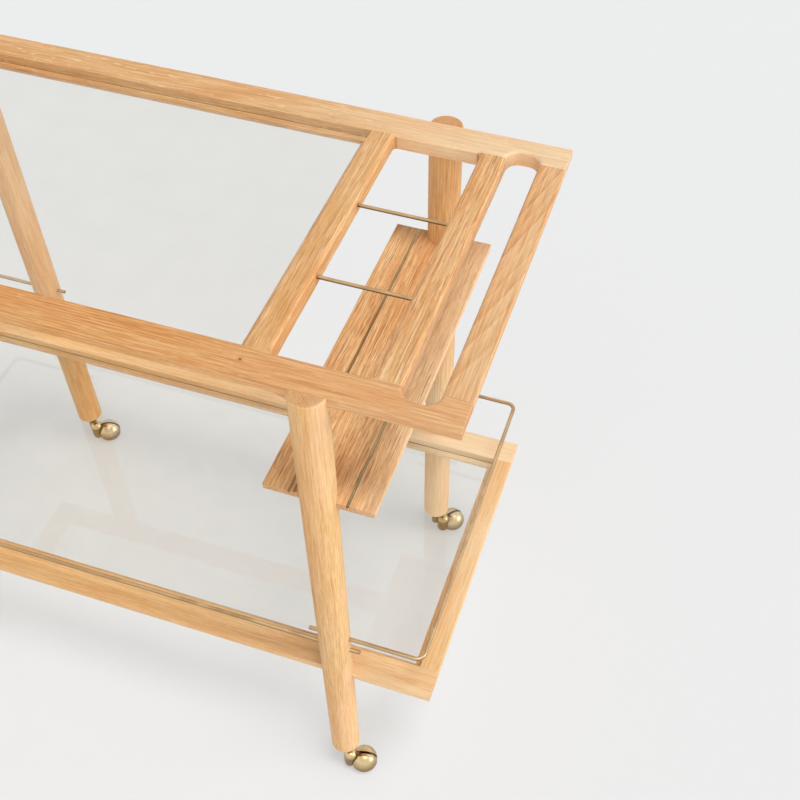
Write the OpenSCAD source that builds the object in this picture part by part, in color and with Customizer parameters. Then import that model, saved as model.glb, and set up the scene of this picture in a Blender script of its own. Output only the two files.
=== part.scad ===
// Two-tier bar cart: two oak frames with glass panels on four round legs, with a slotted
// bottle rack over a narrow shelf at the right end, brass gallery rods and ball castors.
// Origin: on the floor, under the middle of the cart. X runs along the cart, Y across it
// and Z up. The bottle rack and the grip are at the +X end.

/* [Frames] */
// Length of the top frame
top_l = 900; // [820:5:1100]
// Width of both frames, over the outer faces of the long rails
frame_w = 411; // [361:1:480]
// Height of the top frame's upper face above the floor
top_h = 780; // [700:5:860]
// Height of the lower frame's upper face above the floor
lower_h = 263; // [200:1:330]
// Distance by which the lower frame stops short of the top frame at each end
lower_inset = 23; // [18:1:40]
// Width of the long rails
rail_w = 36; // [33:1:46]
// Thickness of every rail and cross bar
rail_t = 18; // [17:0.5:24]
// Width of the bevel under the outer edges
bevel_w = 10; // [4:1:12]
// Height of the bevel under the outer edges
bevel_h = 7.5; // [4:0.5:8]
// Radius of the round cutter that leaves the stopped ends of the bevel
cutter_r = 6; // [4:1:10]
// Radius along the upper outer edges, and along the edges beside the glass
edge_r = 1; // [0.5:0.5:2]
// Radius along the upper edges of the grip slot and the bottle rack
opening_r = 4; // [2:0.5:5]

/* [Top frame] */
// Width of the end rail beside the grip slot
top_end_w = 28.5; // [26:0.5:40]
// Width of the plain end rail at the other end
plain_end_w = 36; // [26:1:44]
// Clear width of the slot that serves as the grip
grip_w = 36; // [32:1:40]
// Depth to which the grip slot is cut into the long rails, and radius of its corners
grip_cut = 14.5; // [8:0.5:15]
// Width of the bar between the grip slot and the bottle rack
grip_bar_w = 28; // [26:1:36]
// Clear width of the bottle rack
rack_w = 98.5; // [90:0.5:110]
// Radius in the corners of the bottle rack
rack_corner_r = 5; // [3:0.5:8]
// Width of the rail between the bottle rack and the glass
divider_w = 25.5; // [23:0.5:34]
// Diameter of the brass rods that part the bottles
rack_rod_d = 4; // [3:0.5:6]
// Number of brass rods across the rack
rack_rods = 2; // [1:1:3]
// Depth to which each of those rods is let into the bars
rack_rod_seat = 10; // [6:1:14]

/* [Lower frame] */
// Width of the end rails of the lower frame
lower_end_w = 24; // [22:1:32]

/* [Glass] */
// Thickness of the glass panels
glass_t = 4; // [3:0.5:5]
// Depth of the glass below the upper face of the frame
glass_drop = 9; // [6:0.5:10]
// Width of the ledge that carries the glass
ledge_w = 8; // [5:1:10]
// Clearance around each glass panel
glass_gap = 1; // [0.5:0.5:2]

/* [Legs] */
// Diameter of the round legs
leg_d = 38; // [34:1:44]
// Distance of a leg's axis inside the outer face of the rails
leg_let_in = 2; // [0:0.5:4]
// Rounding of the top end of a leg
leg_top_r = 2.5; // [0.5:0.5:4]
// Rounding of the foot end of a leg
leg_foot_r = 1.5; // [1:0.5:5]

/* [Bottle shelf] */
// Depth of the bottle shelf's upper face below the top frame's upper face
shelf_drop = 157; // [120:1:220]
// Width of the bottle shelf
shelf_w = 118; // [100:1:126]
// Thickness of the bottle shelf
shelf_t = 8; // [8:0.5:14]
// Width of each brass strip let into the shelf
inlay_w = 3; // [2:0.5:5]
// Depth to which each brass strip is let in
inlay_t = 2.5; // [1.5:0.5:3]
// Distance between the middles of the two brass strips
inlay_pitch = 61.5; // [56:0.5:80]

/* [Gallery] */
// Diameter of the gallery rods
gallery_d = 5; // [4:0.5:7]
// Height of the end rods' axis above the lower frame
gallery_end_h = 85; // [70:1:110]
// Height of the side rods' axis above the lower frame
gallery_side_h = 59; // [40:1:60]
// Distance of the end rods' axis inside the ends of the lower frame
gallery_inset = 10; // [6:1:16]
// Bend radius of the end rods, to the axis of the rod
gallery_bend_r = 10; // [8:1:20]
// Length of rod that shows past the far side of each leg
gallery_stub = 12.5; // [8:0.5:20]

/* [Castors] */
// Diameter of the ball, which is also the wheel's diameter
ball_d = 36; // [32:1:40]
// Distance of the wheel's axle behind the swivel axis
trail = 25; // [22:0.5:27]
// Distance of the ball's middle to the side of the swivel axis
ball_side = 10; // [9:0.5:11]
// Distance by which the wheel stops short of the ball's middle
wheel_short = 1; // [0:0.5:2]
// Clearance between the ball and the leg above it
ball_clear = 18; // [14:0.5:22]
// Width of the wheel's tread, which is as wide across as the ball
tread_w = 4; // [3:0.5:8]
// Width of the gap between the hood and the wheel
hood_gap = 3.5; // [2:0.25:4]
// Wall of the hood
hood_wall = 2.5; // [2:0.25:3.5]
// Height of the hood's lower edge above the floor
hood_lift = 6; // [4:0.5:9]
// Diameter of the upright lobe that wraps round the wheel beside the barrel
lobe_d = 18; // [15:0.5:19]
// Distance of the lobe's axis behind the swivel axis
lobe_back = 6.5; // [4:0.5:7]
// Distance of the lobe's axis to the side of the swivel axis
lobe_side = 12; // [11.5:0.5:13]
// Height of the lobe's lower end above the floor
lobe_lift = 7; // [6.5:0.5:12]
// Distance from the leg's foot down to the lobe's round top
lobe_drop = 12; // [10:0.5:16]
// Gap between the lobe and the wheel
lobe_gap = 1.5; // [1:0.25:2.5]
// Outer diameter of the swivel barrel
barrel_d = 13; // [12.5:0.5:13.5]
// Height of the barrel's lower end above the floor
barrel_lift = 21; // [18:0.5:23]
// Diameter of the pintle that the barrel turns on
pintle_d = 6; // [5:0.5:6.5]
// Diameter of the wheel's axle
axle_d = 5; // [4:0.5:6]
// Depth of the axle's bore in the wheel
axle_depth = 13; // [9:0.5:14]
// Diameter of the neck between the barrel and the hood
neck_d = 11; // [8:0.5:12]
// Diameter of the stem inside the leg
stem_d = 8; // [7:0.5:9]
// Length of the stem inside the leg
stem_l = 32; // [24:1:40]
// Wall of the brass socket in the leg
socket_wall = 1.5; // [1:0.25:2]
// Diameter of the socket's flange under the leg
flange_d = 20; // [18:0.5:26]
// Thickness of the socket's flange
flange_t = 1.2; // [1:0.1:2]
// Thickness of the collar between the flange and the barrel
collar_t = 1.5; // [1:0.1:2.5]
// Diameter of the riveted head under the pintle
head_d = 9; // [8:0.5:9.5]
// Height of the riveted head
head_t = 2; // [1.5:0.25:3]
// Swivel of the front right castor as the cart stands
turn_fr = 15; // [-180:0.1:180]
// Swivel of the back right castor as the cart stands
turn_br = 47; // [-180:0.1:180]
// Swivel of the front left castor as the cart stands
turn_fl = -1.8; // [-180:0.1:180]
// Swivel of the back left castor as the cart stands
turn_bl = 27; // [-180:0.1:180]

/* [Dowels] */
// Diameter of the dowels between rails and cross bars
dowel_d = 6; // [5:0.5:8]
// Length of those dowels
dowel_l = 40; // [30:1:44]
// Distance between the two dowels of one joint
dowel_pitch = 12; // [11:0.5:14]
// Diameter of the dowels between rails and legs
leg_dowel_d = 8; // [6:0.5:9]
// Depth of those dowels in the leg
leg_dowel_in_leg = 11; // [8:0.5:13]
// Depth of those dowels in the rail
leg_dowel_in_rail = 15; // [10:0.5:20]
// Diameter of the steel pins between legs and bottle shelf
pin_d = 4; // [3:0.5:4.5]
// Depth of those pins on each side of the joint
pin_depth = 12; // [8:0.5:14]
// Distance between the two pins of one leg
pin_pitch = 14; // [12:0.5:18]

/* [Fits] */
// Radial clearance of dowels, pins, rods and sockets in their holes
fit = 0.05; // [0.02:0.01:0.1]
// Radial clearance of the pintle and the axle, which turn
run_fit = 0.06; // [0.03:0.01:0.1]
// Gap between faces that slide past each other
run_gap = 0.3; // [0.2:0.05:0.5]
// Gap between the bottle shelf and the legs that it is notched around
notch_gap = 0.1; // [0.05:0.05:0.3]

/* [Hidden] */
$fn = 64;

// Overlap that lets a cutter pass clean through a face
eps = 1;
oak = [0.87, 0.68, 0.45];
pale_oak = [0.93, 0.76, 0.55];
dark_oak = [0.78, 0.58, 0.38];
brass = [0.80, 0.66, 0.38];
clear_glass = [0.82, 0.88, 0.86, 0.45];
steel = [0.70, 0.71, 0.73];

half_w = frame_w / 2;
inner_y = half_w - rail_w;
top_x = top_l / 2;
lower_x = top_x - lower_inset;
ledge_t = rail_t - glass_drop - glass_t;

// Places along X, from the right end of the top frame inwards
grip_x1 = top_x - top_end_w;
grip_x0 = grip_x1 - grip_w;
rack_x1 = grip_x0 - grip_bar_w;
rack_x0 = rack_x1 - rack_w;
divider_x0 = rack_x0 - divider_w;
glass_x0 = -top_x + plain_end_w;
lower_glass_x = lower_x - lower_end_w;

// The right legs stand at the middle of the bottle rack, the left legs as far from the middle
leg_r = leg_d / 2;
leg_x = (rack_x0 + rack_x1) / 2;
leg_y = half_w - leg_let_in;
leg_foot_z = ball_d + ball_clear;
leg_len = top_h - leg_foot_z;

shelf_z = top_h - shelf_drop;
gallery_end_z = lower_h + gallery_end_h;
gallery_side_z = lower_h + gallery_side_h;
gallery_x = lower_x - gallery_inset;
rod_end_x = leg_x - leg_r - gallery_stub;

// Heights and places within a castor, whose swivel axis is at the origin
ball_r = ball_d / 2;
flange_z = leg_foot_z - flange_t;
collar_z = flange_z - collar_t;
barrel_top = collar_z - run_gap;
head_z = barrel_lift + run_gap;
bore_d = pintle_d + 2 * run_fit;
wheel_back = -ball_side - wheel_short;
hood_front = wheel_back + hood_gap;
dome_r = sqrt(pow(ball_r, 2) + pow(tread_w + wheel_short, 2));
boss_d = axle_d + 5;
neck_z = barrel_lift + neck_d / 2 + 1;
hood_seat_y = ball_r - ball_side - hood_wall;
lobe_top = leg_foot_z - lobe_drop;
ball_turn = atan(ball_side / trail);
neck_l = norm([trail, ball_side]) - ball_r / 2;
sleeve_d = stem_d + 2 * socket_wall + 2 * fit;

// Castors in the order front right, back right, front left, back left
function sign_x(i) = i < 2 ? 1 : -1;
function sign_y(i) = i % 2 == 0 ? -1 : 1;
turns = [turn_fr, turn_br, turn_fl, turn_bl];

// Middles of the cross members, where the dowels are
top_joints = [
    (glass_x0 - top_x) / 2, divider_x0 + divider_w / 2,
    rack_x1 + grip_bar_w / 2, top_x - top_end_w / 2
];
lower_joints = [-lower_x + lower_end_w / 2, lower_x - lower_end_w / 2];

// Cutter along X that rounds an upper edge whose wood lies at -Y of the origin
module round_cut(length, r) {
    rotate([90, 0, 90])
        linear_extrude(length)
            difference() {
                translate([-r, -r]) square(r + eps);
                translate([-r, -r]) circle(r);
            }
}

// Cutter along X that bevels a lower edge whose wood lies at +Y of the origin
module bevel_cut(length) {
    rotate([90, 0, 90])
        linear_extrude(length)
            polygon([
                [-eps, -eps], [bevel_w * (1 + eps / bevel_h), -eps],
                [0, bevel_h], [-eps, bevel_h]
            ]);
}

// Bevel from x0 to x1 under a front edge, its marked ends left by the round cutter
module stopped_bevel(x0, x1, stop0, stop1) {
    run = sqrt(pow(cutter_r + bevel_w, 2) - pow(cutter_r, 2));
    a = stop0 ? x0 + run : x0;
    b = stop1 ? x1 - run : x1;
    translate([a, 0, 0]) bevel_cut(b - a);
    for (x = concat(stop0 ? [a] : [], stop1 ? [b] : []))
        translate([x, -cutter_r, -eps])
            cylinder(h = bevel_h + eps, r1 = cutter_r + bevel_w * (1 + eps / bevel_h), r2 = cutter_r);
}

// Bevel and rounding across both ends of a frame that reaches from -x to x
module frame_end_cuts(x, z) {
    for (m = [0, 1])
        mirror([m, 0, 0]) {
            translate([x, -half_w - eps, z - rail_t])
                rotate([0, 0, 90])
                    bevel_cut(frame_w + 2 * eps);
            translate([x, -half_w - eps, z])
                mirror([1, 0, 0])
                    rotate([0, 0, 90])
                        round_cut(frame_w + 2 * eps, edge_r);
        }
}

// Opening from x0 to x1 and from -y to y, with corners of radius r and a rounded upper edge
module opening_cut(x0, x1, y, r) {
    translate([x0, r - y, -2 * rail_t]) cube([x1 - x0, 2 * (y - r), 3 * rail_t]);
    translate([x0 + r, -y, -2 * rail_t]) cube([x1 - x0 - 2 * r, 2 * y, 3 * rail_t]);
    for (x = [x0 + r, x1 - r], s = [-1, 1])
        translate([x, s * (y - r), -2 * rail_t]) cylinder(h = 3 * rail_t, r = r);
    for (m = [0, 1])
        mirror([0, m, 0])
            translate([x0 + r, -y, 0])
                round_cut(x1 - x0 - 2 * r, opening_r);
    translate([x1, r - y, 0]) rotate([0, 0, 90]) round_cut(2 * (y - r), opening_r);
    translate([x0, r - y, 0])
        mirror([1, 0, 0])
            rotate([0, 0, 90])
                round_cut(2 * (y - r), opening_r);
    translate([x1 - r, y - r, 0]) corner_round_cut(0, r);
    translate([x0 + r, y - r, 0]) corner_round_cut(90, r);
    translate([x0 + r, r - y, 0]) corner_round_cut(180, r);
    translate([x1 - r, r - y, 0]) corner_round_cut(270, r);
}

// Rounding of the upper edge round one corner of an opening
module corner_round_cut(turn, r) {
    rotate([0, 0, turn])
        rotate_extrude(angle = 90)
            difference() {
                translate([r, -opening_r]) square([opening_r, opening_r + eps]);
                translate([r + opening_r, -opening_r]) circle(opening_r);
            }
}

module grip_opening() {
    translate([0, 0, top_h]) opening_cut(grip_x0, grip_x1, inner_y + grip_cut, grip_cut);
}

module rack_opening() {
    translate([0, 0, top_h]) opening_cut(rack_x0, rack_x1, inner_y, rack_corner_r);
}

// Pairs of dowels, or of their holes, where the cross members at xs meet the long rails
module frame_dowels(xs, z, grow) {
    for (x = xs, s = [-1, 1], t = [-1, 1])
        translate([x + t * dowel_pitch / 2, s * inner_y, z - rail_t / 2])
            rotate([90, 0, 0])
                cylinder(h = dowel_l + 2 * grow, d = dowel_d + 2 * grow, center = true);
}

// Dowels, or their holes, between a frame's long rails and the four legs
module frame_leg_dowels(z, grow) {
    for (i = [0:3])
        translate([sign_x(i) * leg_x, sign_y(i) * half_w, z - rail_t / 2])
            rotate([sign_y(i) * 90, 0, 0])
                translate([0, 0, -leg_dowel_in_leg - grow])
                    cylinder(h = leg_dowel_in_leg + leg_dowel_in_rail + 2 * grow,
                             d = leg_dowel_d + 2 * grow);
}

// Rods across the bottle rack, or their holes, evenly spaced and let into both bars
module rack_rod_set(grow) {
    step = 2 * inner_y / (rack_rods + 1);
    for (i = [1:rack_rods])
        translate([rack_x0 - rack_rod_seat - grow, -inner_y + i * step, top_h - rail_t / 2])
            rotate([0, 90, 0])
                cylinder(h = rack_w + 2 * (rack_rod_seat + grow), d = rack_rod_d + 2 * grow);
}

// Steel pins that carry the bottle shelf on the legs, or their holes
module shelf_pin_set(grow) {
    for (s = [-1, 1], t = [-1, 1])
        translate([leg_x + t * pin_pitch / 2,
                   s * (leg_y - sqrt(pow(leg_r, 2) - pow(pin_pitch / 2, 2))),
                   shelf_z - (shelf_t + inlay_t) / 2])
            rotate([90, 0, 0])
                cylinder(h = 2 * (pin_depth + grow), d = pin_d + 2 * grow, center = true);
}

// Front long rail of the top frame, with a ledge for the glass along its inner side
module top_long_rail() {
    color(oak)
        difference() {
            union() {
                translate([-top_x, -half_w, top_h - rail_t]) cube([top_l, rail_w, rail_t]);
                translate([glass_x0, -inner_y - eps, top_h - rail_t])
                    cube([divider_x0 - glass_x0, ledge_w + eps, ledge_t]);
            }
            frame_end_cuts(top_x, top_h);
            translate([-top_x - eps, -half_w, top_h])
                mirror([0, 1, 0])
                    round_cut(top_l + 2 * eps, edge_r);
            translate([0, -half_w, top_h - rail_t]) {
                stopped_bevel(-top_x - eps, -leg_x - leg_r, false, true);
                stopped_bevel(leg_r - leg_x, leg_x - leg_r, true, true);
                stopped_bevel(leg_x + leg_r, top_x + eps, true, false);
            }
            translate([glass_x0, -inner_y, top_h]) round_cut(divider_x0 - glass_x0, edge_r);
            rack_opening();
            grip_opening();
            frame_dowels(top_joints, top_h, fit);
            frame_leg_dowels(top_h, fit);
        }
}

module top_front_rail() { top_long_rail(); }
module top_back_rail() { mirror([0, 1, 0]) top_long_rail(); }

// Board from x0 to x1 between the long rails
module cross_board(x0, x1, z) {
    translate([x0, -inner_y, z - rail_t]) cube([x1 - x0, 2 * inner_y, rail_t]);
}

// Ledge for the glass on the side of a cross member
module cross_ledge(x0, x1, z) {
    translate([x0, ledge_w - inner_y, z - rail_t])
        cube([x1 - x0, 2 * (inner_y - ledge_w), ledge_t]);
}

module top_right_end_rail() {
    color(oak)
        difference() {
            cross_board(grip_x1, top_x, top_h);
            frame_end_cuts(top_x, top_h);
            grip_opening();
            frame_dowels(top_joints, top_h, fit);
        }
}

module top_left_end_rail() {
    color(oak)
        difference() {
            union() {
                cross_board(-top_x, glass_x0, top_h);
                cross_ledge(glass_x0 - eps, glass_x0 + ledge_w, top_h);
            }
            frame_end_cuts(top_x, top_h);
            translate([glass_x0, -inner_y - eps, top_h])
                mirror([1, 0, 0])
                    rotate([0, 0, 90])
                        round_cut(2 * (inner_y + eps), edge_r);
            frame_dowels(top_joints, top_h, fit);
        }
}

// Bar between the grip slot and the bottle rack, flared into the corners of the rack
module grip_bar() {
    color(oak)
        difference() {
            cross_board(rack_x1 - rack_corner_r + eps, grip_x0, top_h);
            grip_opening();
            rack_opening();
            frame_dowels(top_joints, top_h, fit);
            rack_rod_set(fit);
        }
}

// Rail between the bottle rack and the glass
module divider_rail() {
    color(oak)
        difference() {
            union() {
                cross_board(divider_x0, rack_x0 + rack_corner_r - eps, top_h);
                cross_ledge(divider_x0 - ledge_w, divider_x0 + eps, top_h);
            }
            rack_opening();
            translate([divider_x0, -inner_y - eps, top_h])
                rotate([0, 0, 90])
                    round_cut(2 * (inner_y + eps), edge_r);
            frame_dowels(top_joints, top_h, fit);
            rack_rod_set(fit);
        }
}

module rack_rods() { color(brass) rack_rod_set(0); }

// Glass panel lying on the ledges of a frame
module glass_panel(x0, x1, z) {
    color(clear_glass)
        translate([x0 + glass_gap, glass_gap - inner_y, z - glass_drop - glass_t])
            cube([x1 - x0 - 2 * glass_gap, 2 * (inner_y - glass_gap), glass_t]);
}

module top_glass() { glass_panel(glass_x0, divider_x0, top_h); }
module lower_glass() { glass_panel(-lower_glass_x, lower_glass_x, lower_h); }

// Outline of the lower frame's front rail, which the legs are notched for
module lower_rail_bar() {
    difference() {
        translate([-lower_x, -half_w, lower_h - rail_t]) cube([2 * lower_x, rail_w, rail_t]);
        translate([-lower_x - eps, -half_w, lower_h - rail_t]) bevel_cut(2 * (lower_x + eps));
    }
}

// Front long rail of the lower frame, with a ledge for the glass along its inner side
module lower_long_rail() {
    color(pale_oak)
        difference() {
            union() {
                lower_rail_bar();
                translate([-lower_glass_x, -inner_y - eps, lower_h - rail_t])
                    cube([2 * lower_glass_x, ledge_w + eps, ledge_t]);
            }
            frame_end_cuts(lower_x, lower_h);
            translate([-lower_x - eps, -half_w, lower_h])
                mirror([0, 1, 0])
                    round_cut(2 * (lower_x + eps), edge_r);
            translate([-lower_glass_x, -inner_y, lower_h]) round_cut(2 * lower_glass_x, edge_r);
            frame_dowels(lower_joints, lower_h, fit);
            frame_leg_dowels(lower_h, fit);
        }
}

module lower_front_rail() { lower_long_rail(); }
module lower_back_rail() { mirror([0, 1, 0]) lower_long_rail(); }

module lower_right_end_rail() {
    color(pale_oak)
        difference() {
            union() {
                cross_board(lower_glass_x, lower_x, lower_h);
                cross_ledge(lower_glass_x - ledge_w, lower_glass_x + eps, lower_h);
            }
            frame_end_cuts(lower_x, lower_h);
            translate([lower_glass_x, -inner_y - eps, lower_h])
                rotate([0, 0, 90])
                    round_cut(2 * (inner_y + eps), edge_r);
            frame_dowels(lower_joints, lower_h, fit);
        }
}

module lower_left_end_rail() { mirror([1, 0, 0]) lower_right_end_rail(); }

// Narrow shelf under the bottle rack, notched around the two right-hand legs
module bottle_shelf() {
    color(dark_oak)
        difference() {
            translate([leg_x - shelf_w / 2, -half_w, shelf_z - shelf_t])
                cube([shelf_w, frame_w, shelf_t]);
            for (s = [-1, 1])
                translate([leg_x, s * leg_y, shelf_z - shelf_t - eps])
                    cylinder(h = shelf_t + 2 * eps, r = leg_r + notch_gap);
            for (s = [-1, 1])
                translate([leg_x + (s * inlay_pitch - inlay_w) / 2, -half_w - eps,
                           shelf_z - inlay_t])
                    cube([inlay_w, frame_w + 2 * eps, inlay_t + eps]);
            shelf_pin_set(fit);
        }
}

module shelf_inlay(s) {
    color(brass)
        translate([leg_x + (s * inlay_pitch - inlay_w) / 2 + fit, -half_w, shelf_z - inlay_t])
            cube([inlay_w - 2 * fit, frame_w, inlay_t]);
}

module shelf_inlay_left() { shelf_inlay(-1); }
module shelf_inlay_right() { shelf_inlay(1); }

module shelf_pins() { color(steel) shelf_pin_set(0); }

// Half section of a leg with both ends rounded
module leg_section() {
    difference() {
        square([leg_r, leg_len]);
        difference() {
            translate([leg_r - leg_foot_r, -eps]) square(leg_foot_r + eps);
            translate([leg_r - leg_foot_r, leg_foot_r]) circle(leg_foot_r);
        }
        difference() {
            translate([leg_r - leg_top_r, leg_len - leg_top_r]) square(leg_top_r + eps);
            translate([leg_r - leg_top_r, leg_len - leg_top_r]) circle(leg_top_r);
        }
    }
}

// Front right leg: notched for both rails, bored for rods, dowels, pins and castor
module leg(pinned) {
    color(pale_oak)
        difference() {
            translate([leg_x, -leg_y, leg_foot_z]) rotate_extrude() leg_section();
            translate([0, -half_w, top_h - rail_t]) cube([top_x, frame_w, rail_t + eps]);
            lower_rail_bar();
            frame_leg_dowels(top_h, fit);
            frame_leg_dowels(lower_h, fit);
            if (pinned) shelf_pin_set(fit);
            for (z = [gallery_end_z, gallery_side_z])
                translate([leg_x, -leg_y, z])
                    rotate([0, 90, 0])
                        cylinder(h = leg_d + 2 * eps, d = gallery_d + 2 * fit, center = true);
            translate([leg_x, -leg_y, leg_foot_z - eps])
                cylinder(h = stem_l + eps + fit, d = sleeve_d + 2 * fit);
        }
}

module leg_fr() { leg(true); }
module leg_br() { mirror([0, 1, 0]) leg(true); }
module leg_fl() { mirror([1, 0, 0]) leg(false); }
module leg_bl() { mirror([1, 0, 0]) mirror([0, 1, 0]) leg(false); }

module top_dowels() { color(pale_oak) frame_dowels(top_joints, top_h, 0); }
module lower_dowels() { color(pale_oak) frame_dowels(lower_joints, lower_h, 0); }

module leg_dowels() {
    color(pale_oak) {
        frame_leg_dowels(top_h, 0);
        frame_leg_dowels(lower_h, 0);
    }
}

// Rod bent round the right end and run through both right-hand legs
module gallery_right() {
    bend_x = gallery_x - gallery_bend_r;
    bend_y = leg_y - gallery_bend_r;
    color(brass)
        translate([0, 0, gallery_end_z]) {
            for (s = [-1, 1]) {
                translate([rod_end_x, s * leg_y, 0])
                    rotate([0, 90, 0])
                        cylinder(h = bend_x - rod_end_x, d = gallery_d);
                translate([bend_x, s * bend_y, 0])
                    rotate([0, 0, s > 0 ? 0 : -90])
                        rotate_extrude(angle = 90)
                            translate([gallery_bend_r, 0]) circle(d = gallery_d, $fn = 32);
            }
            translate([gallery_x, bend_y, 0])
                rotate([90, 0, 0])
                    cylinder(h = 2 * bend_y, d = gallery_d);
        }
}

module gallery_left() { mirror([1, 0, 0]) gallery_right(); }

// Straight rod along one side, run through both legs
module gallery_side(s) {
    x = leg_x + leg_r + gallery_stub;
    color(brass)
        translate([-x, s * leg_y, gallery_side_z])
            rotate([0, 90, 0])
                cylinder(h = 2 * x, d = gallery_d);
}

module gallery_front() { gallery_side(-1); }
module gallery_back() { gallery_side(1); }

// Moves a castor piece from the castor's own axis to leg number i
module at_leg(i) {
    translate([sign_x(i) * leg_x, sign_y(i) * leg_y, 0])
        rotate([0, 0, turns[i]])
            children();
}

// Brass sleeve with a flange, pressed into the foot of the leg
module castor_socket(i) {
    color(brass)
        at_leg(i)
            translate([0, 0, flange_z])
                difference() {
                    union() {
                        cylinder(h = flange_t, d = flange_d);
                        cylinder(h = flange_t + stem_l, d = sleeve_d);
                    }
                    translate([0, 0, -eps])
                        cylinder(h = flange_t + stem_l + 2 * eps, d = stem_d + 2 * fit);
                }
}

// Stem with its collar, its pintle and the riveted head that carries the barrel
module castor_stem(i) {
    color(steel)
        at_leg(i) {
            translate([0, 0, flange_z]) cylinder(h = flange_t + stem_l - run_gap, d = stem_d);
            translate([0, 0, collar_z]) cylinder(h = collar_t, d = barrel_d - 2);
            translate([0, 0, head_z]) cylinder(h = collar_z - head_z, d = pintle_d);
            translate([0, 0, head_z]) cylinder(h = head_t, d = head_d);
        }
}

// Half ball beside the wheel, open underneath, with the neck to the barrel
module hood_shell() {
    difference() {
        union() {
            translate([trail, -ball_side, ball_r]) sphere(ball_r);
            translate([0, 0, neck_z])
                rotate([0, 90, -ball_turn])
                    cylinder(h = neck_l, d = neck_d);
        }
        translate([trail, -ball_side, ball_r]) sphere(ball_r - hood_wall);
        translate([-eps, hood_front - 2 * ball_d, -eps])
            cube([3 * ball_d, 2 * ball_d, 2 * ball_d]);
        translate([-eps, -2 * ball_d, -eps])
            cube([3 * ball_d, 4 * ball_d, hood_lift + eps]);
    }
}

// Upright lobe with round ends on the wheel's side of the barrel, hollowed for the wheel
module hood_lobe() {
    r = lobe_d / 2;
    difference() {
        translate([lobe_back, -lobe_side, 0]) {
            translate([0, 0, lobe_lift + r]) cylinder(h = lobe_top - lobe_lift - lobe_d, r = r);
            for (z = [lobe_lift + r, lobe_top - r])
                translate([0, 0, z]) sphere(r);
        }
        intersection() {
            translate([trail, -ball_side, ball_r]) sphere(dome_r + lobe_gap);
            translate([-eps, hood_front - 2 * ball_d, -eps])
                cube([3 * ball_d, 2 * ball_d, 2 * ball_d]);
        }
        translate([trail, -ball_side, ball_r]) sphere(ball_r - hood_wall);
    }
}

// Hood with the swivel barrel and its lobe at one end and the axle's boss inside
module castor_hood(i) {
    color(brass)
        at_leg(i)
            difference() {
                union() {
                    hood_shell();
                    hood_lobe();
                    translate([0, 0, barrel_lift])
                        cylinder(h = barrel_top - barrel_lift, d = barrel_d);
                    translate([trail, wheel_back + run_gap, ball_r])
                        rotate([-90, 0, 0])
                            cylinder(h = hood_seat_y + hood_wall / 2 - wheel_back - run_gap,
                                     d = boss_d);
                }
                translate([0, 0, barrel_lift - eps]) cylinder(h = ball_d, d = bore_d);
                translate([0, 0, barrel_lift - eps])
                    cylinder(h = eps + head_t + 2 * run_gap, d = head_d + 1);
                translate([trail, wheel_back, ball_r])
                    rotate([-90, 0, 0])
                        cylinder(h = hood_seat_y - wheel_back, d = axle_d + 2 * fit);
            }
}

// Axle pin, fixed in the hood's boss and free in the wheel
module castor_axle(i) {
    color(steel)
        at_leg(i)
            translate([trail, wheel_back - axle_depth + run_gap, ball_r])
                rotate([-90, 0, 0])
                    cylinder(h = axle_depth + hood_seat_y - wheel_back - 2 * run_gap, d = axle_d);
}

// Wheel: a narrow tread beside the gap, domed on its outer side and bored for the axle
module castor_wheel(i) {
    color(brass)
        at_leg(i)
            translate([trail, wheel_back, ball_r])
                rotate([90, 0, 0])
                    difference() {
                        intersection() {
                            cylinder(h = ball_d, r = ball_r);
                            translate([0, 0, -wheel_short]) sphere(dome_r);
                        }
                        translate([0, 0, -eps])
                            cylinder(h = axle_depth + eps, d = axle_d + 2 * run_fit);
                    }
}

module castor_fr_socket() { castor_socket(0); }
module castor_fr_stem() { castor_stem(0); }
module castor_fr_hood() { castor_hood(0); }
module castor_fr_axle() { castor_axle(0); }
module castor_fr_wheel() { castor_wheel(0); }
module castor_br_socket() { castor_socket(1); }
module castor_br_stem() { castor_stem(1); }
module castor_br_hood() { castor_hood(1); }
module castor_br_axle() { castor_axle(1); }
module castor_br_wheel() { castor_wheel(1); }
module castor_fl_socket() { castor_socket(2); }
module castor_fl_stem() { castor_stem(2); }
module castor_fl_hood() { castor_hood(2); }
module castor_fl_axle() { castor_axle(2); }
module castor_fl_wheel() { castor_wheel(2); }
module castor_bl_socket() { castor_socket(3); }
module castor_bl_stem() { castor_stem(3); }
module castor_bl_hood() { castor_hood(3); }
module castor_bl_axle() { castor_axle(3); }
module castor_bl_wheel() { castor_wheel(3); }

top_front_rail();
top_back_rail();
top_right_end_rail();
top_left_end_rail();
grip_bar();
divider_rail();
top_glass();
rack_rods();
bottle_shelf();
shelf_inlay_left();
shelf_inlay_right();
lower_front_rail();
lower_back_rail();
lower_right_end_rail();
lower_left_end_rail();
lower_glass();
gallery_right();
gallery_left();
gallery_front();
gallery_back();
leg_fr();
leg_br();
leg_fl();
leg_bl();
top_dowels();
lower_dowels();
leg_dowels();
shelf_pins();
castor_fr_socket();
castor_fr_stem();
castor_fr_hood();
castor_fr_axle();
castor_fr_wheel();
castor_br_socket();
castor_br_stem();
castor_br_hood();
castor_br_axle();
castor_br_wheel();
castor_fl_socket();
castor_fl_stem();
castor_fl_hood();
castor_fl_axle();
castor_fl_wheel();
castor_bl_socket();
castor_bl_stem();
castor_bl_hood();
castor_bl_axle();
castor_bl_wheel();
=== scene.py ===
# A two-tier bar cart of pale oak, glass and brass: the look of each piece, in the order in
# which the cart is put together, then the studio floor, the light and the camera.
import math

import bmesh
import bpy
from mathutils import Euler, Matrix, Vector


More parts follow.
